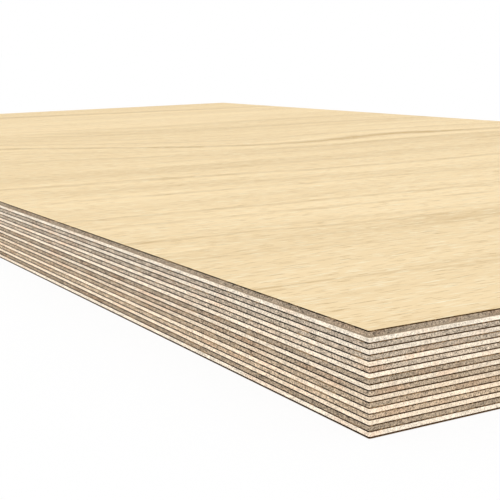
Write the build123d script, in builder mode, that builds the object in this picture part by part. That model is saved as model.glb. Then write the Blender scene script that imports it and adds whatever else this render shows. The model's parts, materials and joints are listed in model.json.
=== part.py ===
"""Multi-ply plywood sheet, lying flat.

A thin face veneer and a thin back veneer cover a core of dark and pale plies laid in turn, and a dark
glue line joins every two neighbours. All layers are sawn to one outline, so the edges are flush.
Millimetres, +Z up, long side along X, origin at the middle of the underside.
"""

import os

from build123d import *

# Outline of the sheet, shared by every layer
SHEET_LENGTH = 1000.0
SHEET_WIDTH = 500.0
CORNER_RADIUS = 0.5  # the four upright corners, eased with sandpaper

# Lay-up of the sheet, numbered from the face down
PLY_COUNT = 18
PLY_TONES = ("dark", "pale")  # the plies take these tones in turn
PLY_THICKNESS = 1.10
GLUE_THICKNESS = 0.36  # cured resin with the wood fibres that it soaked
FACE_THICKNESS = 0.18  # sliced decorative veneer, sanded
BACK_THICKNESS = 0.18  # balancing veneer on the underside
ARRIS_RADIUS = 0.10  # long edges of the face and the back, eased with sandpaper

GLUE_COUNT = PLY_COUNT + 1  # one line above each ply, and one under the last
CORE_THICKNESS = PLY_COUNT * PLY_THICKNESS + GLUE_COUNT * GLUE_THICKNESS
CORE_TOP = BACK_THICKNESS + CORE_THICKNESS
LAYER_PITCH = PLY_THICKNESS + GLUE_THICKNESS


def write(layer, name):
    """Labels a finished layer and writes it as a part of its own."""
    layer.label = name
    export_step(layer, f"parts/{name}.step")


def flat_layer(bottom, thickness):
    """One flush layer of the core: the sheet's outline, raised from its bottom face."""
    with BuildPart() as layer:
        with BuildSketch(Plane.XY.offset(bottom)):
            RectangleRounded(SHEET_LENGTH, SHEET_WIDTH, CORNER_RADIUS)
        extrude(amount=thickness)
    return layer.part


os.makedirs("parts", exist_ok=True)

# Face veneer, with the long edges of its show side eased
with BuildPart() as face_veneer:
    with BuildSketch(Plane.XY.offset(CORE_TOP)):
        RectangleRounded(SHEET_LENGTH, SHEET_WIDTH, CORNER_RADIUS)
    extrude(amount=FACE_THICKNESS)
    fillet(face_veneer.faces().sort_by(Axis.Z)[-1].edges(), ARRIS_RADIUS)
write(face_veneer.part, "face_veneer")

# Glue lines, each one on top of the ply or the back veneer that it was spread on
for number in range(1, GLUE_COUNT + 1):
    glue_top = CORE_TOP - (number - 1) * LAYER_PITCH
    write(flat_layer(glue_top - GLUE_THICKNESS, GLUE_THICKNESS), f"glue_line_{number:02d}")

# Core plies, dark and pale in turn
for number in range(1, PLY_COUNT + 1):
    tone = PLY_TONES[(number - 1) % len(PLY_TONES)]
    ply_bottom = CORE_TOP - number * LAYER_PITCH
    write(flat_layer(ply_bottom, PLY_THICKNESS), f"ply_{number:02d}_{tone}")

# Back veneer, which the sheet rests on, with the long edges of its underside eased
with BuildPart() as back_veneer:
    with BuildSketch(Plane.XY):
        RectangleRounded(SHEET_LENGTH, SHEET_WIDTH, CORNER_RADIUS)
    extrude(amount=BACK_THICKNESS)
    fillet(back_veneer.faces().sort_by(Axis.Z)[0].edges(), ARRIS_RADIUS)
write(back_veneer.part, "back_veneer")
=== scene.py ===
"""A multi-ply plywood sheet, finished for a studio picture.

The sheet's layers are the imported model's own nodes and stay as they are. Each kind of layer gets its finish
here: a sliced face veneer with straight grain along the short side, a plainer back veneer, dark and pale
plies with sawn edges, and thin dark glue lines. A white floor, soft light and a camera make the stage.
Lengths are in metres.
"""

import json
import math
from typing import NamedTuple

import bpy
from bpy.props import FloatProperty, FloatVectorProperty, PointerProperty
from mathutils import Matrix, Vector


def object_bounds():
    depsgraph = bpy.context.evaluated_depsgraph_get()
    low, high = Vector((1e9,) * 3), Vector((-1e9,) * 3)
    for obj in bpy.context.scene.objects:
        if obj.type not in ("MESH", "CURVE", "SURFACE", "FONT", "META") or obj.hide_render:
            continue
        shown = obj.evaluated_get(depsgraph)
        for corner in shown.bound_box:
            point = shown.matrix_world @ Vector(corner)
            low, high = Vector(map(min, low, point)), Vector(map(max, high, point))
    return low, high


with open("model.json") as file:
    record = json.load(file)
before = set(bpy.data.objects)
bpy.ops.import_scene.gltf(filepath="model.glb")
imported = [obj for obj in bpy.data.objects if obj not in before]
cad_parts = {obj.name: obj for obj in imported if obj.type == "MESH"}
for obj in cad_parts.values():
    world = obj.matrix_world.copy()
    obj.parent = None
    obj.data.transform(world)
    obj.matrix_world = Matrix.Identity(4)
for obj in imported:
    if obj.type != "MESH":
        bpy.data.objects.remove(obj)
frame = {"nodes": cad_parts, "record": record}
CAD_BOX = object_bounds()

bl_info = {
    "name": "Plywood Sheet",
    "version": (1, 0, 0),
    "blender": (4, 5, 0),
    "location": "View3D > Sidebar > Plywood",
    "description": "Finishes the layers of a plywood sheet and sets it on a stage",
    "category": "Object",
}

SHEET_LOW, SHEET_HIGH = CAD_BOX
SHEET_LENGTH = SHEET_HIGH.x - SHEET_LOW.x
SHEET_WIDTH = SHEET_HIGH.y - SHEET_LOW.y


class Noise(NamedTuple):
    """A layer of noise: the lengths of its cells along X, Y and Z, its own seed, and how it is drawn."""

    cell: tuple
    seed: float = 0.0
    detail: float = 2.0
    roughness: float = 0.5


def grain(across, along, **drawing):
    """A layer of noise in a veneer, whose grain runs along the sheet's short side."""
    return Noise((across, along, across), **drawing)


def sawn(size, stretch, **drawing):
    """A layer of noise on a sawn edge, drawn out along the sheet's length."""
    return Noise((stretch * size, size, size), **drawing)


NOISE_MIDDLE = 0.5  # noise goes from 0 to 1

# Soft colour of the veneers, from the broadest noise to the finest
BOARD = grain(0.15, 0.70, seed=5.5)
BAND = grain(0.045, 0.55, detail=3.0)
STRIPE = grain(0.011, 0.22, seed=1.7, detail=4.0, roughness=0.6)
FIBRE = grain(0.0016, 0.045, seed=4.3, detail=3.0, roughness=0.6)
BOARD_SHARE = 0.5  # the broadest noise is this share as deep as the bands
LATE_ROUGHER = 0.05  # late wood is this much rougher than early wood

# Growth rings of the veneers: how they warp, where they show, and how wide a line is
RING_WARP = grain(0.16, 0.5)
RING_SHOW = grain(0.05, 0.16, seed=3.1)
RING_SHOW_LEVELS = (0.42, 0.68)  # noise at which the rings start to show, and are clear
RING_MIDDLE = 0.5  # a line's place from ring to ring
RING_LINE = 0.14  # half of a line's width, as a share of the pitch

# Pores and pale gleams of the veneers: wisps that run together, and separate dashes
PORE_SEED = 7.9
GLEAM_SEED = 9.2
WISP_LENGTHS = 2  # a wisp's noise is this many dashes long
WISP_DETAIL = 1.0
WISP_LEVELS = (0.64, 0.70)  # noise at which a wisp starts, and is full
DASH_SHARE = 0.17  # half of a dash's length and width, as a share of the room that it has
DASH_CORE = 0.4  # share of a dash that is full
DASH_LEVELS = (0.3, 1.0)  # chance value at which a dash is missing, and is full

# Streaks of the face. Each has the places (x, y) that it runs through, its half width and its depth of
# colour, which is below zero for a pale streak.
FACE_STREAKS = (
    (((0.442, -0.300), (0.445, -0.250), (0.448, -0.210), (0.453, -0.180)), 0.0026, 0.48),
    (((0.355, -0.300), (0.357, -0.250), (0.360, -0.208), (0.365, -0.147), (0.366, -0.110)), 0.0042, 0.48),
    (((0.320, -0.260), (0.323, -0.156), (0.327, -0.077), (0.330, 0.000)), 0.0040, 0.48),
    (((0.294, -0.300), (0.296, -0.250), (0.302, -0.146), (0.307, -0.057), (0.309, 0.060)), 0.0050, 0.36),
    (((0.237, -0.230), (0.245, -0.155), (0.250, -0.080)), 0.0062, 0.40),
    (((0.168, -0.300), (0.176, -0.233), (0.188, -0.133), (0.199, -0.063), (0.197, 0.080)), 0.0075, 0.42),
    (((0.153, -0.170), (0.159, -0.062), (0.163, 0.000)), 0.0060, 0.18),
    (((0.050, -0.183), (0.076, -0.090)), 0.0090, 0.25),
    (
        (
            (-0.070, -0.240), (-0.056, -0.170), (-0.010, -0.108),
            (0.031, -0.048), (0.049, 0.010), (0.043, 0.045),
        ),
        0.0120,
        0.60,
    ),
    (((0.044, 0.030), (0.040, 0.060), (0.036, 0.080), (0.031, 0.115), (0.038, 0.150)), 0.0170, 0.95),
    (((0.031, 0.115), (0.042, 0.169), (0.050, 0.300)), 0.0120, 0.62),
    (((-0.157, -0.090), (-0.147, -0.048), (-0.135, 0.000)), 0.0220, 0.28),
    (((-0.418, -0.080), (-0.405, 0.030), (-0.396, 0.100), (-0.389, 0.180), (-0.386, 0.300)), 0.0170, 0.46),
    (((0.377, -0.140), (0.380, -0.060)), 0.0150, 0.28),
    (((0.212, -0.240), (0.224, -0.130), (0.240, -0.040), (0.242, 0.100)), 0.0260, 0.24),
    (((0.095, -0.200), (0.122, -0.080), (0.118, 0.100)), 0.0340, -0.10),
    (((0.311, -0.170), (0.319, -0.020)), 0.0090, -0.20),
    (((0.284, -0.080), (0.294, 0.000)), 0.0080, -0.28),
    (((0.343, -0.150), (0.349, -0.060)), 0.0100, -0.16),
    (((0.375, -0.300), (0.387, -0.215)), 0.0120, -0.26),
)

# Rings that follow the arch across the middle of the face. Each has its distance from the arch, the share of
# the arch's bend that it keeps, its half width and its depth of colour.
ARCH_PLACES = (
    (-0.075, -0.300), (-0.056, -0.170), (-0.010, -0.108), (0.031, -0.048),
    (0.048, 0.020), (0.036, 0.080), (0.050, 0.300),
)
ARCH_RINGS = (
    (0.040, 0.85, 0.0080, 0.20),
    (0.078, 0.60, 0.0070, 0.16),
    (-0.042, 0.90, 0.0090, 0.24),
    (-0.082, 0.75, 0.0100, 0.18),
    (-0.135, 0.60, 0.0120, 0.22),
    (-0.200, 0.45, 0.0130, 0.16),
)

# Line of a streak: how far it wavers and frays, in half widths, and the paler wood beside it
STREAK_WAVER_NOISE = grain(0.2, 0.08)
STREAK_WAVER = 0.4
STREAK_FRAY_NOISE = grain(0.0030, 0.060, seed=6.1, detail=3.0, roughness=0.7)
STREAK_FRAY = 1.1
FLANK_SHARE = 0.22  # of the streak's depth
FLANK_REACH = 2.6  # half widths from the streak's middle
NEW_CURVE_POINTS = 2  # points that Blender gives a new curve

# A streak whose half width and depth are more than these is a bundle of rings at this pitch
BUNDLE_WIDTH = 0.0085
BUNDLE_DEPTH = 0.3
BUNDLE_PITCH = 0.0075
BUNDLE_SHADES = (1.45, 0.55)  # on a ring, and halfway to the next

# Ends of a streak, which fade out over this length, or over this part of a short streak
END_FADE = 0.05
END_FADE_PARTS = 3

# Breaks in a streak: their length, which grows with the half width, and the share of colour that they leave
BREAK_LENGTH = 0.010
BREAK_WIDTHS = 2.5
BREAK_LEVELS = (0.36, 0.62)  # noise in a break, and in the streak beside it
BREAK_LEAVES = 0.1
BREAK_LEAVES_MORE = 40  # for each metre of half width
BREAK_LEAVES_MOST = 0.7
UNBROKEN_SHARE = 1.1  # of the colour, between the breaks

# Shade and warmth of each dark ply and each pale ply, from the face down
DARK_PLIES = (
    (0.73, 0.5), (1.04, 0.0), (0.98, 0.1),
    (1.19, 0.1), (0.84, 0.5), (0.97, 0.6),
    (0.99, 0.7), (1.19, 0.7), (0.81, 0.6),
)
# The lowest pale ply is partly painted light: besides its whiter colour, its shade is raised to make up for
# the shade that falls near the floor
PALE_PLIES_AND_PAINTED_LIGHT = (
    (1.03, 0.0), (0.96, 0.2), (1.05, 0.4),
    (1.08, 0.5), (1.01, 0.6), (0.97, 1.0),
    (1.11, 0.8), (1.08, 0.9), (1.12, 0.0),
)

# Sawn edges of the plies: grit and specks, whose sizes are settings, and then patches and stains
SAWN_DETAIL = 1.0
GRIT_STRETCH = 2
SPECK_STRETCH = 3
SPECK_SEED = 2.3
SPECK_SHARE = 0.35  # of the grit's contrast
PATCH = Noise((0.012, 0.012, 0.004), seed=5.7)
PATCH_SHARE = 0.20  # of the grit's contrast
STAIN = Noise((0.016, 0.009, 0.009), seed=8.1, detail=1.0)
STAIN_LEVELS = (0.48, 0.80)  # noise at which a stain starts, and is full
DARKEST_SHADE = 0.2

# Share of each glue line that soaked away into the wood, from the face down
GLUE_SOAK_SHARES = (
    0.32, 1.00, 0.38, 0.10, 0.44, 0.34, 0.35, 0.08, 0.46, 0.32,
    0.35, 0.04, 0.42, 0.37, 0.50, 0.16, 0.34, 0.42, 0.10,
)
GLUE_SOAK_SPAN = 0.6  # of the noise, from a line that kept all its glue to one that kept none
HALF_SOAKED = 0.5  # a line that lost a larger share shows some bare joint
GLUE_RUN = Noise((0.006, 0.006, 0.0004), detail=3.0, roughness=0.6)
GLUE_FLECK = Noise((0.0040, 0.0008, 0.0004), seed=2.0, detail=1.0)

# Darker band on the sawn edges of the back veneer, along the bottom of the sheet: how far its colour goes
# from the soaked glue colour to the thick one, and the distances from the edge at which it starts and is full
BACK_EDGE_DARKENING = 0.4
EDGE_DARK_START = 0.0004
EDGE_DARK_FULL = 0.0002

# Seeds of the materials, so that the patterns of two layers don't line up
FACE_SEED = 0.0
BACK_SEED = 40.0
DARK_PLY_SEED = 0.0
PALE_PLY_SEED = 50.0
PLY_SEED_STEP = 3.0
GLUE_SEED_STEP = 5.0

# Camera and stage
SENSOR_WIDTH = 36.0  # millimetres, as Blender gives it
NEAREST_SEEN = 0.01
WHITE = (1.0, 1.0, 1.0, 1.0)

# How a colour picker's values become linear
PICKER_OFFSET = 0.055
PICKER_POWER = 2.4


def picked(red, green, blue):
    """A colour as a colour picker shows it, from 0 to 255, made linear as Blender keeps colours."""
    shares = (value / 255 for value in (red, green, blue))
    return [((share + PICKER_OFFSET) / (1 + PICKER_OFFSET)) ** PICKER_POWER for share in shares]


def blended(first, second, share):
    """The colour that lies this share of the way from the first to the second."""
    return [a + (b - a) * share for a, b in zip(first, second)]


def opaque(colour):
    """A colour with the fourth value that a colour socket takes."""
    return (*colour, 1.0)


def nodes_of(slot):
    """The sheet's nodes that take their finish from a slot of the record, in the record's order."""
    names = [part["node"] for part in frame["record"]["subparts"] if part["material_slot"] == slot]
    if not names:
        raise RuntimeError(f"the packed sheet has no layer with the finish {slot}")
    return [frame["nodes"][name] for name in names]


def wear(layer, material):
    """Gives a layer its finish on the object, so that its mesh stays as it was packed."""
    slot = layer.material_slots[0]
    slot.link = "OBJECT"
    slot.material = material


class Nodes:
    """The nodes of a material or a world, and short ways to add to them."""

    def __init__(self, owner):
        owner.use_nodes = True
        self.tree = owner.node_tree
        self.tree.nodes.clear()

    def node(self, kind, **settings):
        """Adds a node and sets its options."""
        made = self.tree.nodes.new(kind)
        for option, value in settings.items():
            setattr(made, option, value)
        return made

    def feed(self, socket, value):
        """Links an output to a socket, or sets a plain value on it."""
        if isinstance(value, bpy.types.NodeSocket):
            self.tree.links.new(value, socket)
        else:
            socket.default_value = value

    def maths(self, operation, *values):
        """One sum on numbers and outputs."""
        made = self.node("ShaderNodeMath", operation=operation)
        for socket, value in zip(made.inputs, values):
            self.feed(socket, value)
        return made.outputs["Value"]

    def either(self, share, first, second):
        """A shader that goes from the first to the second with the share."""
        made = self.node("ShaderNodeMixShader")
        for socket, value in zip(made.inputs, (share, first, second)):
            self.feed(socket, value)
        return made.outputs["Shader"]

    def seen_ray(self):
        """1 for the rays that show the stage itself: from the camera, in gloss and through glass."""
        path = self.node("ShaderNodeLightPath").outputs
        first = self.maths("MAXIMUM", path["Is Camera Ray"], path["Is Glossy Ray"])
        return self.maths("MAXIMUM", first, path["Is Transmission Ray"])

    def end(self, kind, shader):
        """Ends the nodes in an output of this kind."""
        self.feed(self.node(kind).inputs["Surface"], shader)


class Finish(Nodes):
    """One material of the sheet. Its patterns lie on the sheet's own coordinates."""

    def __init__(self, name):
        self.material = bpy.data.materials.new(name)
        super().__init__(self.material)
        coordinates = self.node("ShaderNodeTexCoord")
        self.place = coordinates.outputs["Object"]
        self.normal = coordinates.outputs["Normal"]

    def axes(self, vector):
        """The X, Y and Z of a vector, as outputs."""
        split = self.node("ShaderNodeSeparateXYZ")
        self.feed(split.inputs["Vector"], vector)
        return split.outputs

    def total(self, values):
        """The sum of several numbers and outputs."""
        result = values[0]
        for value in values[1:]:
            result = self.maths("ADD", result, value)
        return result

    def eased(self, value, start, end, low=0.0, high=1.0):
        """Goes smoothly from low to high as the value goes from start to end."""
        made = self.node("ShaderNodeMapRange", interpolation_type="SMOOTHSTEP")
        names = ("Value", "From Min", "From Max", "To Min", "To Max")
        for name, amount in zip(names, (value, start, end, low, high)):
            self.feed(made.inputs[name], amount)
        return made.outputs["Result"]

    def laid(self, place, scale):
        """The sheet's coordinates, scaled and moved for a pattern."""
        made = self.node("ShaderNodeMapping")
        self.feed(made.inputs["Vector"], self.place)
        made.inputs["Location"].default_value = place
        made.inputs["Scale"].default_value = scale
        return made.outputs["Vector"]

    def noise(self, layer, seed):
        """Noise from 0 to 1, drawn as its layer says."""
        start = seed + layer.seed
        made = self.node("ShaderNodeTexNoise")
        self.feed(made.inputs["Vector"], self.laid((start, start, start), [1 / side for side in layer.cell]))
        made.inputs["Scale"].default_value = 1.0
        made.inputs["Detail"].default_value = layer.detail
        made.inputs["Roughness"].default_value = layer.roughness
        return made.outputs["Fac"]

    def dashes(self, width, length, seed):
        """Dashes along the grain from 0 to 1, each in a cell of its own and with its own strength."""
        cells = self.node("ShaderNodeTexVoronoi", voronoi_dimensions="2D")
        scale = (2 * DASH_SHARE / width, 2 * DASH_SHARE / length, 1.0)
        self.feed(cells.inputs["Vector"], self.laid((seed, seed, 0.0), scale))
        cells.inputs["Scale"].default_value = 1.0
        chance = self.node("ShaderNodeSeparateColor")
        self.feed(chance.inputs["Color"], cells.outputs["Color"])
        strength = self.eased(chance.outputs["Red"], *DASH_LEVELS)
        dash = self.eased(cells.outputs["Distance"], DASH_CORE * DASH_SHARE, DASH_SHARE, 1.0, 0.0)
        return self.maths("MULTIPLY", dash, strength)

    def swing(self, value, depth):
        """Noise turned into a change that is as often up as down, this deep."""
        return self.maths("MULTIPLY_ADD", value, 2 * depth, -depth)

    def mixed(self, share, first, second):
        """A colour that goes from the first to the second with the share."""
        made = self.node("ShaderNodeMix", data_type="RGBA")
        self.feed(made.inputs["Factor"], share)
        self.feed(made.inputs["A"], first)
        self.feed(made.inputs["B"], second)
        return made.outputs["Result"]

    def shaded(self, colour, shade):
        """A colour made lighter or darker by an output."""
        made = self.node("ShaderNodeVectorMath", operation="SCALE")
        self.feed(made.inputs["Vector"], colour)
        self.feed(made.inputs["Scale"], shade)
        return made.outputs["Vector"]

    def surface(self, settings, colour, roughness, height):
        """Ends the material in its surface, with the settings' shine, and relief that follows a height."""
        skin = self.node("ShaderNodeBsdfPrincipled")
        self.feed(skin.inputs["Base Color"], colour)
        self.feed(skin.inputs["Roughness"], roughness)
        skin.inputs["Specular IOR Level"].default_value = settings.shine
        bump = self.node("ShaderNodeBump")
        bump.inputs["Distance"].default_value = settings.relief
        self.feed(bump.inputs["Height"], height)
        self.feed(skin.inputs["Normal"], bump.outputs["Normal"])
        self.end("ShaderNodeOutputMaterial", skin.outputs["BSDF"])
        return self.material


# Wood of the two outer veneers


def streak_offset(finish, axes, points, width, fray, seed):
    """How far the wood lies to one side of a streak, which runs through its points, wavers and frays."""
    route = finish.node("ShaderNodeFloatCurve")
    curve = route.mapping.curves[0]
    for number, (x, y) in enumerate(points):
        place = ((y - SHEET_LOW.y) / SHEET_WIDTH, (x - SHEET_LOW.x) / SHEET_LENGTH)
        if number < NEW_CURVE_POINTS:
            curve.points[number].location = place
        else:
            curve.points.new(*place)
    route.mapping.extend = "HORIZONTAL"
    route.mapping.update()
    along = finish.maths("MULTIPLY_ADD", axes["Y"], 1 / SHEET_WIDTH, -SHEET_LOW.y / SHEET_WIDTH)
    finish.feed(route.inputs["Value"], along)
    middle = finish.maths("MULTIPLY_ADD", route.outputs["Value"], SHEET_LENGTH, SHEET_LOW.x)
    waver = finish.swing(finish.noise(STREAK_WAVER_NOISE, seed), width * STREAK_WAVER)
    frayed = finish.swing(fray, width * STREAK_FRAY)
    return finish.total([axes["X"], finish.maths("MULTIPLY", middle, -1.0), waver, frayed])


def streak_colour(finish, axes, streak, fray, seed):
    """How dark a streak makes the veneer: a line or a bundle of rings, broken and with soft ends."""
    points, width, depth = streak
    offset = streak_offset(finish, axes, points, width, fray, seed)
    away = finish.maths("ABSOLUTE", offset)
    late = finish.eased(away, 0.0, width, 1.0 + FLANK_SHARE, 0.0)
    flank = finish.eased(away, width, FLANK_REACH * width, -FLANK_SHARE, 0.0)
    line = finish.maths("ADD", late, flank)
    if width > BUNDLE_WIDTH and depth > BUNDLE_DEPTH:
        beside = finish.maths("PINGPONG", offset, BUNDLE_PITCH / 2)
        line = finish.maths("MULTIPLY", line, finish.eased(beside, 0.0, BUNDLE_PITCH / 2, *BUNDLE_SHADES))
    first, last = points[0][1], points[-1][1]
    fade = min(END_FADE, (last - first) / END_FADE_PARTS)
    start = finish.eased(axes["Y"], first - fade, first + fade)
    end = finish.eased(axes["Y"], last - fade, last + fade, 1.0, 0.0)
    left = min(BREAK_LEAVES_MOST, BREAK_LEAVES + BREAK_LEAVES_MORE * width)
    break_noise = finish.noise(grain(width, BREAK_LENGTH + BREAK_WIDTHS * width), seed)
    breaks = finish.eased(break_noise, *BREAK_LEVELS, left, UNBROKEN_SHARE)
    shade = finish.maths("MULTIPLY", line, breaks)
    reach = finish.maths("MULTIPLY", start, end)
    return finish.maths("MULTIPLY", finish.maths("MULTIPLY", shade, reach), depth)


def ring_beside(places, distance, share):
    """The places of a ring that follows an arch at a distance and keeps this share of its bend."""
    middle = sum(x for x, y in places) / len(places)
    return tuple((middle + distance + (x - middle) * share, y) for x, y in places)


def growth_rings(finish, axes, settings, seed):
    """Faint growth rings all over a veneer: soft lines that waver along the grain and come and go."""
    warp = finish.swing(finish.noise(RING_WARP, seed), settings.ring_wander)
    across = finish.maths("ADD", axes["X"], warp)
    turn = finish.maths("FRACT", finish.maths("DIVIDE", across, settings.ring_pitch))
    away = finish.maths("ABSOLUTE", finish.maths("SUBTRACT", turn, RING_MIDDLE))
    late_wood = finish.eased(away, 0.0, RING_LINE, 1.0, 0.0)
    shown = finish.eased(finish.noise(RING_SHOW, seed), *RING_SHOW_LEVELS)
    return finish.maths("MULTIPLY", late_wood, shown)


def fine_marks(finish, settings, seed):
    """Fine marks along the grain, as of pores that the knife cut open: wisps and separate dashes."""
    wisp = grain(settings.pore_width, WISP_LENGTHS * settings.pore_length, detail=WISP_DETAIL)
    wisps = finish.eased(finish.noise(wisp, seed), *WISP_LEVELS)
    dashes = finish.dashes(settings.pore_width, settings.pore_length, seed)
    return finish.maths("MAXIMUM", wisps, dashes)


def veneer_tone(finish, axes, settings, pores, seed):
    """The veneer's depth of colour from its bands, stripes, fibres, rings and pores."""
    return finish.total([
        settings.base_tone,
        finish.swing(finish.noise(BOARD, seed), settings.band_depth * BOARD_SHARE),
        finish.swing(finish.noise(BAND, seed), settings.band_depth),
        finish.swing(finish.noise(STRIPE, seed), settings.stripe_depth),
        finish.swing(finish.noise(FIBRE, seed), settings.fibre_depth),
        finish.maths("MULTIPLY", growth_rings(finish, axes, settings, seed), settings.ring_depth),
        finish.maths("MULTIPLY", pores, settings.pore_depth),
    ])


def edge_share(finish, axes):
    """An output that is 1 on the sheet's sawn edges and 0 elsewhere."""
    shares = []
    for axis, half in (("X", SHEET_LENGTH / 2), ("Y", SHEET_WIDTH / 2)):
        away = finish.maths("ABSOLUTE", axes[axis])
        shares.append(finish.eased(away, half - EDGE_DARK_START, half - EDGE_DARK_FULL))
    return finish.maths("MAXIMUM", *shares)


def veneer_material(name, settings, streaks, seed, dark_edge_colour=None):
    """A sanded veneer with straight grain and its streaks, and with edges darkened to a colour if one is
    given.
    """
    finish = Finish(name)
    axes = finish.axes(finish.place)
    pores = fine_marks(finish, settings, seed + PORE_SEED)
    gleams = fine_marks(finish, settings, seed + GLEAM_SEED)
    tone = veneer_tone(finish, axes, settings, pores, seed)
    fray = finish.noise(STREAK_FRAY_NOISE, seed)
    for number, streak in enumerate(streaks):
        tone = finish.maths("ADD", tone, streak_colour(finish, axes, streak, fray, seed + number))
    colour = finish.mixed(tone, opaque(settings.early_wood), opaque(settings.late_wood))
    gleam_share = finish.maths("MULTIPLY", gleams, settings.gleam_depth)
    colour = finish.mixed(gleam_share, colour, opaque(settings.gleam_wood))
    # The sawn edges are darkened to the given colour, when one is given
    if dark_edge_colour is not None:
        colour = finish.mixed(edge_share(finish, axes), colour, opaque(dark_edge_colour))
    roughness = finish.eased(tone, 0.0, 1.0, settings.roughness, settings.roughness + LATE_ROUGHER)
    sunken = finish.maths("MULTIPLY", pores, -1.0)
    return finish.surface(settings, colour, roughness, sunken)


# Sawn edges of the core


def ply_material(name, settings, colour, contrast, seed):
    """A ply as its sawn edge shows it: wood with fine grit, open pores, slow patches and a few stains."""
    finish = Finish(name)
    grit = finish.noise(sawn(settings.grit_size, GRIT_STRETCH, detail=SAWN_DETAIL), seed)
    speck_layer = sawn(settings.speck_size, SPECK_STRETCH, seed=SPECK_SEED, detail=SAWN_DETAIL)
    speck = finish.noise(speck_layer, seed)
    shade = finish.total([
        1.0,
        finish.swing(grit, contrast),
        finish.swing(speck, contrast * SPECK_SHARE),
        finish.swing(finish.noise(PATCH, seed), contrast * PATCH_SHARE),
    ])
    shade = finish.maths("MAXIMUM", shade, DARKEST_SHADE)
    stained = finish.eased(finish.noise(STAIN, seed), *STAIN_LEVELS)
    mark_colour = [value * tint for value, tint in zip(colour, settings.stain_tint)]
    wood = finish.mixed(stained, opaque(colour), opaque(mark_colour))
    height = finish.maths("ADD", grit, speck)
    return finish.surface(settings, finish.shaded(wood, shade), settings.roughness, height)


def glue_material(name, settings, share, seed):
    """A cured glue line: nearly black where it is thick, and brown where this share of it soaked away."""
    finish = Finish(name)
    run = finish.noise(GLUE_RUN, seed)
    fleck = finish.noise(GLUE_FLECK, seed)
    long_edge = finish.maths("ABSOLUTE", finish.axes(finish.normal)["Y"])
    spread = finish.total([
        fleck,
        finish.swing(run, settings.run_depth),
        finish.maths("MULTIPLY", long_edge, -settings.long_edge_hold),
    ])
    level = NOISE_MIDDLE + (HALF_SOAKED - share) * GLUE_SOAK_SPAN
    soaked = finish.eased(spread, level - settings.fleck_softness, level + settings.fleck_softness)
    bareness = max(0.0, (share - HALF_SOAKED) / (1 - HALF_SOAKED))
    thinned = blended(settings.soaked_colour, settings.bare_colour, bareness)
    thick = finish.mixed(long_edge, opaque(settings.thick_colour), opaque(settings.long_edge_colour))
    colour = finish.mixed(soaked, thick, opaque(thinned))
    return finish.surface(settings, colour, settings.roughness, fleck)


# What a user may change


class VeneerSettings(bpy.types.PropertyGroup):
    """The wood of the face veneer and the back veneer."""

    early_wood: FloatVectorProperty(
        name="Early Wood", description="Colour of the pale wood",
        subtype="COLOR", default=picked(251, 227, 183),
    )
    late_wood: FloatVectorProperty(
        name="Late Wood", description="Colour of the rings and streaks",
        subtype="COLOR", default=picked(210, 181, 134),
    )
    gleam_wood: FloatVectorProperty(
        name="Gleams", description="Colour of the short pale fibres",
        subtype="COLOR", default=picked(255, 244, 212),
    )
    base_tone: FloatProperty(
        name="Tone", description="How far the wood goes to the late colour", default=0.20,
    )
    band_depth: FloatProperty(name="Bands", description="Depth of the broad soft bands", default=0.38)
    stripe_depth: FloatProperty(name="Stripes", description="Depth of the narrow stripes", default=0.20)
    fibre_depth: FloatProperty(name="Fibres", description="Depth of the fine fibres", default=0.06)
    ring_depth: FloatProperty(name="Rings", description="Depth of the growth rings", default=0.22)
    ring_pitch: FloatProperty(
        name="Ring Pitch", description="Distance from ring to ring", subtype="DISTANCE", default=0.026,
    )
    ring_wander: FloatProperty(
        name="Ring Wander", description="How far a ring strays sideways", subtype="DISTANCE", default=0.045,
    )
    pore_length: FloatProperty(
        name="Pore Length", description="Length of the dark pores and the pale fibres",
        subtype="DISTANCE", default=0.0052,
    )
    pore_width: FloatProperty(
        name="Pore Width", description="Width of the dark pores and the pale fibres",
        subtype="DISTANCE", default=0.00048,
    )
    pore_depth: FloatProperty(name="Pores", description="Depth of the short dark pores", default=1.2)
    gleam_depth: FloatProperty(
        name="Gleam Share", description="How clear the short pale fibres are", default=1.0,
    )
    roughness: FloatProperty(name="Roughness", description="Roughness of the sanded wood", default=0.72)
    shine: FloatProperty(name="Shine", description="Strength of the reflections", default=0.05)
    relief: FloatProperty(
        name="Relief", description="Depth of the pores that can be felt",
        subtype="DISTANCE", default=0.0000015,
    )


class PlySettings(bpy.types.PropertyGroup):
    """The sawn edges of the core plies."""

    dark_cool: FloatVectorProperty(
        name="Dark, Cool", description="Greyest of the dark plies",
        subtype="COLOR", default=picked(188, 173, 154),
    )
    dark_warm: FloatVectorProperty(
        name="Dark, Warm", description="Brownest of the dark plies",
        subtype="COLOR", default=picked(188, 166, 139),
    )
    pale_cool: FloatVectorProperty(
        name="Pale, Cool", description="Whitest of the pale plies",
        subtype="COLOR", default=picked(243, 230, 211),
    )
    pale_warm: FloatVectorProperty(
        name="Pale, Warm", description="Warmest of the pale plies",
        subtype="COLOR", default=picked(242, 223, 198),
    )
    stain_tint: FloatVectorProperty(
        name="Stain", description="Tint of the stains on the plies",
        subtype="COLOR", default=(0.96, 0.86, 0.80),
    )
    grit_size: FloatProperty(
        name="Grit", description="Size of the sawn grit", subtype="DISTANCE", default=0.00026,
    )
    speck_size: FloatProperty(
        name="Specks", description="Size of the open pores", subtype="DISTANCE", default=0.0011,
    )
    dark_contrast: FloatProperty(
        name="Dark Contrast", description="Contrast of the grit on dark plies", default=1.5,
    )
    pale_contrast: FloatProperty(
        name="Pale Contrast", description="Contrast of the grit on pale plies", default=0.8,
    )
    roughness: FloatProperty(name="Roughness", description="Roughness of the sawn wood", default=0.9)
    shine: FloatProperty(name="Shine", description="Strength of the reflections", default=0.05)
    relief: FloatProperty(
        name="Relief", description="Depth of the sawn relief", subtype="DISTANCE", default=0.00002,
    )


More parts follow.
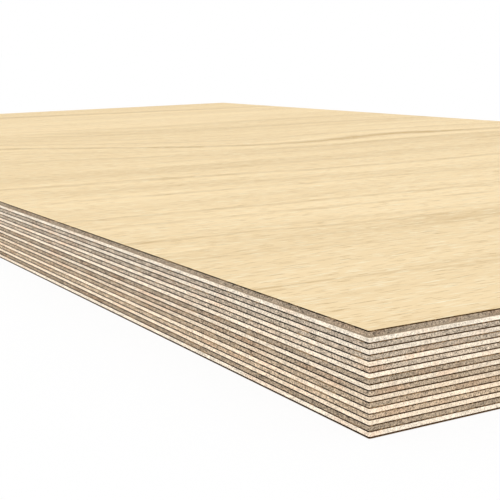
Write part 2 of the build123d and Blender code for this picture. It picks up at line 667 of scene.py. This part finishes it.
class GlueSettings(bpy.types.PropertyGroup):
    """The glue lines."""

    thick_colour: FloatVectorProperty(
        name="Thick", description="Colour where the glue is thick",
        subtype="COLOR", default=picked(68, 46, 22),
    )
    long_edge_colour: FloatVectorProperty(
        name="Thick, Long Edges", description="Colour of thick glue on the long edges",
        subtype="COLOR", default=picked(24, 14, 5),
    )
    soaked_colour: FloatVectorProperty(
        name="Soaked", description="Colour where the glue soaked away",
        subtype="COLOR", default=picked(150, 122, 88),
    )
    bare_colour: FloatVectorProperty(
        name="Bare", description="Colour of a joint that kept no glue",
        subtype="COLOR", default=picked(158, 140, 118),
    )
    run_depth: FloatProperty(
        name="Runs", description="Share of the long runs in the glue's blotches", default=0.25,
    )
    fleck_softness: FloatProperty(
        name="Softness", description="Softness of the glue's blotches", default=0.07,
    )
    long_edge_hold: FloatProperty(
        name="Hold", description="How much less soaks away on the long edges", default=0.05,
    )
    roughness: FloatProperty(name="Roughness", description="Roughness of the sawn glue", default=0.8)
    shine: FloatProperty(name="Shine", description="Strength of the reflections", default=0.05)
    relief: FloatProperty(
        name="Relief", description="Depth of the sawn relief", subtype="DISTANCE", default=0.00003,
    )


class StageSettings(bpy.types.PropertyGroup):
    """The floor, the light and the camera."""

    floor_size: FloatProperty(
        name="Floor", description="Side of the floor", subtype="DISTANCE", default=40.0,
    )
    floor_lap: FloatProperty(
        name="Lap", description="How far the floor reaches under the sheet",
        subtype="DISTANCE", default=0.004,
    )
    floor_gap: FloatProperty(
        name="Gap", description="Hair's breadth between floor and sheet",
        subtype="DISTANCE", default=0.00005,
    )
    floor_bounce: FloatProperty(
        name="Bounce", description="Share of light that the floor sends back", default=0.95,
    )
    shadow_share: FloatProperty(
        name="Shadow", description="How much of the shadow the floor shows", default=0.12,
    )
    dome_strength: FloatProperty(name="Dome", description="Strength of the white dome", default=0.86)
    key_strength: FloatProperty(name="Key", description="Strength of the soft key light", default=0.7)
    key_tilt: FloatProperty(
        name="Key Tilt", description="Tilt of the key light from straight down",
        subtype="ANGLE", default=math.radians(50),
    )
    key_turn: FloatProperty(
        name="Key Turn", description="Turn of the key light about the upright",
        subtype="ANGLE", default=math.radians(52),
    )
    key_spread: FloatProperty(
        name="Key Spread", description="Width of the key light in the sky",
        subtype="ANGLE", default=math.radians(80),
    )
    camera_place: FloatVectorProperty(
        name="Camera", description="Place of the camera",
        subtype="TRANSLATION", default=(0.7103, -0.4004, 0.0934),
    )
    camera_azimuth: FloatProperty(
        name="Azimuth", description="Turn of the camera from +Y",
        subtype="ANGLE", default=math.radians(60.55),
    )
    camera_dip: FloatProperty(
        name="Dip", description="How far the camera looks down",
        subtype="ANGLE", default=math.radians(10.27),
    )
    camera_roll: FloatProperty(
        name="Roll", description="Roll of the camera", subtype="ANGLE", default=math.radians(-1.30),
    )
    lens: FloatProperty(
        name="Lens", description="Focal length on a 36 mm frame, in millimetres", default=80.87,
    )


# Steps of the work


class PLYWOOD_OT_face_veneer(bpy.types.Operator):
    """Finish the face veneer with straight pale grain and its late-wood streaks"""

    bl_idname = "plywood.face_veneer"
    bl_label = "Face Veneer"

    def execute(self, context):
        settings = context.scene.plywood_veneers
        rings = []
        for distance, share, width, depth in ARCH_RINGS:
            rings.append((ring_beside(ARCH_PLACES, distance, share), width, depth))
        material = veneer_material("sliced_face_veneer", settings, (*FACE_STREAKS, *rings), FACE_SEED)
        for layer in nodes_of("face_veneer"):
            wear(layer, material)
        return {"FINISHED"}


class PLYWOOD_OT_back_veneer(bpy.types.Operator):
    """Finish the back veneer, which has the face's wood, no streaks and edges darkened to a glue brown"""

    bl_idname = "plywood.back_veneer"
    bl_label = "Back Veneer"

    def execute(self, context):
        settings = context.scene.plywood_veneers
        glue = context.scene.plywood_glue
        # The back veneer's sawn edges are darkened to a brown between the soaked and the thick glue colours
        mark_colour = blended(glue.soaked_colour, glue.thick_colour, BACK_EDGE_DARKENING)
        material = veneer_material("back_veneer_wood", settings, (), BACK_SEED, mark_colour)
        for layer in nodes_of("back_veneer"):
            wear(layer, material)
        return {"FINISHED"}


class PLYWOOD_OT_core_plies(bpy.types.Operator):
    """Finish the sawn edges of the dark and the pale plies"""

    bl_idname = "plywood.core_plies"
    bl_label = "Core Plies"

    def execute(self, context):
        settings = context.scene.plywood_plies
        dark = (DARK_PLIES, settings.dark_cool, settings.dark_warm, settings.dark_contrast, DARK_PLY_SEED)
        pale = (PALE_PLIES_AND_PAINTED_LIGHT, settings.pale_cool, settings.pale_warm, settings.pale_contrast, PALE_PLY_SEED)
        for slot, kind in (("dark_ply", dark), ("pale_ply", pale)):
            plies, cool, warm, contrast, first_seed = kind
            for number, layer in enumerate(nodes_of(slot)):
                # For the lowest pale ply this shade is partly painted light, raised against the shade near
                # the floor
                shade, warmth = plies[number % len(plies)]
                colour = [shade * value for value in blended(cool, warm, warmth)]
                seed = first_seed + PLY_SEED_STEP * number
                wear(layer, ply_material(f"sawn_{layer.name}", settings, colour, contrast, seed))
        return {"FINISHED"}


class PLYWOOD_OT_glue_lines(bpy.types.Operator):
    """Finish the glue lines between the layers"""

    bl_idname = "plywood.glue_lines"
    bl_label = "Glue Lines"

    def execute(self, context):
        settings = context.scene.plywood_glue
        for number, layer in enumerate(nodes_of("glue_line")):
            share = GLUE_SOAK_SHARES[number % len(GLUE_SOAK_SHARES)]
            wear(layer, glue_material(f"cured_{layer.name}", settings, share, GLUE_SEED_STEP * number))
        return {"FINISHED"}


def floor_material(settings):
    """A white floor that bounces a plain share of the light and shows part of the shadow on it."""
    material = bpy.data.materials.new("white_floor")
    nodes = Nodes(material)
    glow = nodes.node("ShaderNodeEmission")
    lit = nodes.node("ShaderNodeBsdfDiffuse")
    lit.inputs["Color"].default_value = WHITE
    shown = nodes.either(settings.shadow_share, glow.outputs["Emission"], lit.outputs["BSDF"])
    bounce = nodes.node("ShaderNodeBsdfDiffuse")
    bounce.inputs["Color"].default_value = opaque([settings.floor_bounce] * 3)
    chosen = nodes.either(nodes.seen_ray(), bounce.outputs["BSDF"], shown)
    nodes.end("ShaderNodeOutputMaterial", chosen)
    return material


def white_dome(settings):
    """A white world that lights the sheet evenly and is plain white behind it."""
    world = bpy.data.worlds.new("white_dome")
    nodes = Nodes(world)
    light = nodes.node("ShaderNodeBackground")
    light.inputs["Color"].default_value = WHITE
    light.inputs["Strength"].default_value = settings.dome_strength
    behind = nodes.node("ShaderNodeBackground")
    behind.inputs["Color"].default_value = WHITE
    chosen = nodes.either(nodes.seen_ray(), light.outputs["Background"], behind.outputs["Background"])
    nodes.end("ShaderNodeOutputWorld", chosen)
    return world


def cut_opening(floor, lap):
    """Cuts an opening in the floor, a lap inside the sheet's outline, so that the underside can be seen."""
    left, right = SHEET_LOW.x + lap, SHEET_HIGH.x - lap
    front, back = SHEET_LOW.y + lap, SHEET_HIGH.y - lap
    cuts = [((x, 0.0, 0.0), (1.0, 0.0, 0.0)) for x in (left, right)]
    cuts += [((0.0, y, 0.0), (0.0, 1.0, 0.0)) for y in (front, back)]
    bpy.ops.object.mode_set(mode="EDIT")
    for place, direction in cuts:
        bpy.ops.mesh.select_all(action="SELECT")
        bpy.ops.mesh.bisect(plane_co=place, plane_no=direction)
    bpy.ops.mesh.select_all(action="DESELECT")
    bpy.ops.object.mode_set(mode="OBJECT")
    for face in floor.data.polygons:
        face.select = left < face.center.x < right and front < face.center.y < back
    bpy.ops.object.mode_set(mode="EDIT")
    bpy.ops.mesh.delete(type="FACE")
    bpy.ops.object.mode_set(mode="OBJECT")


def lay_floor(context, settings):
    """Lays the white floor a hair's breadth under the sheet."""
    bpy.ops.object.select_all(action="DESELECT")
    floor_level = SHEET_LOW.z - settings.floor_gap
    bpy.ops.mesh.primitive_plane_add(size=settings.floor_size, location=(0.0, 0.0, floor_level))
    floor = context.active_object
    floor.name = "floor"
    cut_opening(floor, settings.floor_lap)
    floor.data.materials.append(floor_material(settings))


def hang_key_light(context, settings):
    """Hangs the soft key light over the sheet."""
    bpy.ops.object.light_add(type="SUN", rotation=(settings.key_tilt, 0.0, settings.key_turn))
    key = context.active_object
    key.name = "soft_key"
    key.data.energy = settings.key_strength
    key.data.angle = settings.key_spread


def place_camera(context, settings):
    """Places the camera at the photograph's viewing angle."""
    bpy.ops.object.camera_add()
    camera = context.active_object
    camera.name = "camera"
    turn = Matrix.Rotation(settings.camera_azimuth, 4, "Z")
    tilt = Matrix.Rotation(math.pi / 2 - settings.camera_dip, 4, "X")
    roll = Matrix.Rotation(settings.camera_roll, 4, "Z")
    camera.matrix_world = Matrix.Translation(settings.camera_place) @ turn @ tilt @ roll
    camera.data.lens = settings.lens
    camera.data.sensor_width = SENSOR_WIDTH
    camera.data.clip_start = NEAREST_SEEN
    context.scene.camera = camera


class PLYWOOD_OT_stage(bpy.types.Operator):
    """Set the sheet on a white floor under soft light and place the camera"""

    bl_idname = "plywood.stage"
    bl_label = "Stage"

    def execute(self, context):
        settings = context.scene.plywood_stage
        lay_floor(context, settings)
        context.scene.world = white_dome(settings)
        hang_key_light(context, settings)
        place_camera(context, settings)
        context.scene.view_settings.view_transform = "Standard"
        return {"FINISHED"}


class PLYWOOD_PT_sheet(bpy.types.Panel):
    """The steps that finish the sheet, in order"""

    bl_label = "Plywood Sheet"
    bl_idname = "PLYWOOD_PT_sheet"
    bl_space_type = "VIEW_3D"
    bl_region_type = "UI"
    bl_category = "Plywood"

    def draw(self, context):
        for step in STEPS:
            self.layout.operator(step.bl_idname)


SETTINGS = {
    "plywood_veneers": VeneerSettings,
    "plywood_plies": PlySettings,
    "plywood_glue": GlueSettings,
    "plywood_stage": StageSettings,
}
STEPS = (
    PLYWOOD_OT_face_veneer,
    PLYWOOD_OT_back_veneer,
    PLYWOOD_OT_core_plies,
    PLYWOOD_OT_glue_lines,
    PLYWOOD_OT_stage,
)


def register():
    """Registers the settings, the steps and the panel."""
    for name, group in SETTINGS.items():
        bpy.utils.register_class(group)
        setattr(bpy.types.Scene, name, PointerProperty(type=group))
    for step in STEPS:
        bpy.utils.register_class(step)
    bpy.utils.register_class(PLYWOOD_PT_sheet)


def unregister():
    """Takes away what register added."""
    bpy.utils.unregister_class(PLYWOOD_PT_sheet)
    for step in reversed(STEPS):
        bpy.utils.unregister_class(step)
    for name, group in SETTINGS.items():
        delattr(bpy.types.Scene, name)
        bpy.utils.unregister_class(group)


def main():
    """Runs every step."""
    register()
    bpy.ops.plywood.face_veneer()
    bpy.ops.plywood.back_veneer()
    bpy.ops.plywood.core_plies()
    bpy.ops.plywood.glue_lines()
    bpy.ops.plywood.stage()


if __name__ == "__main__":
    main()
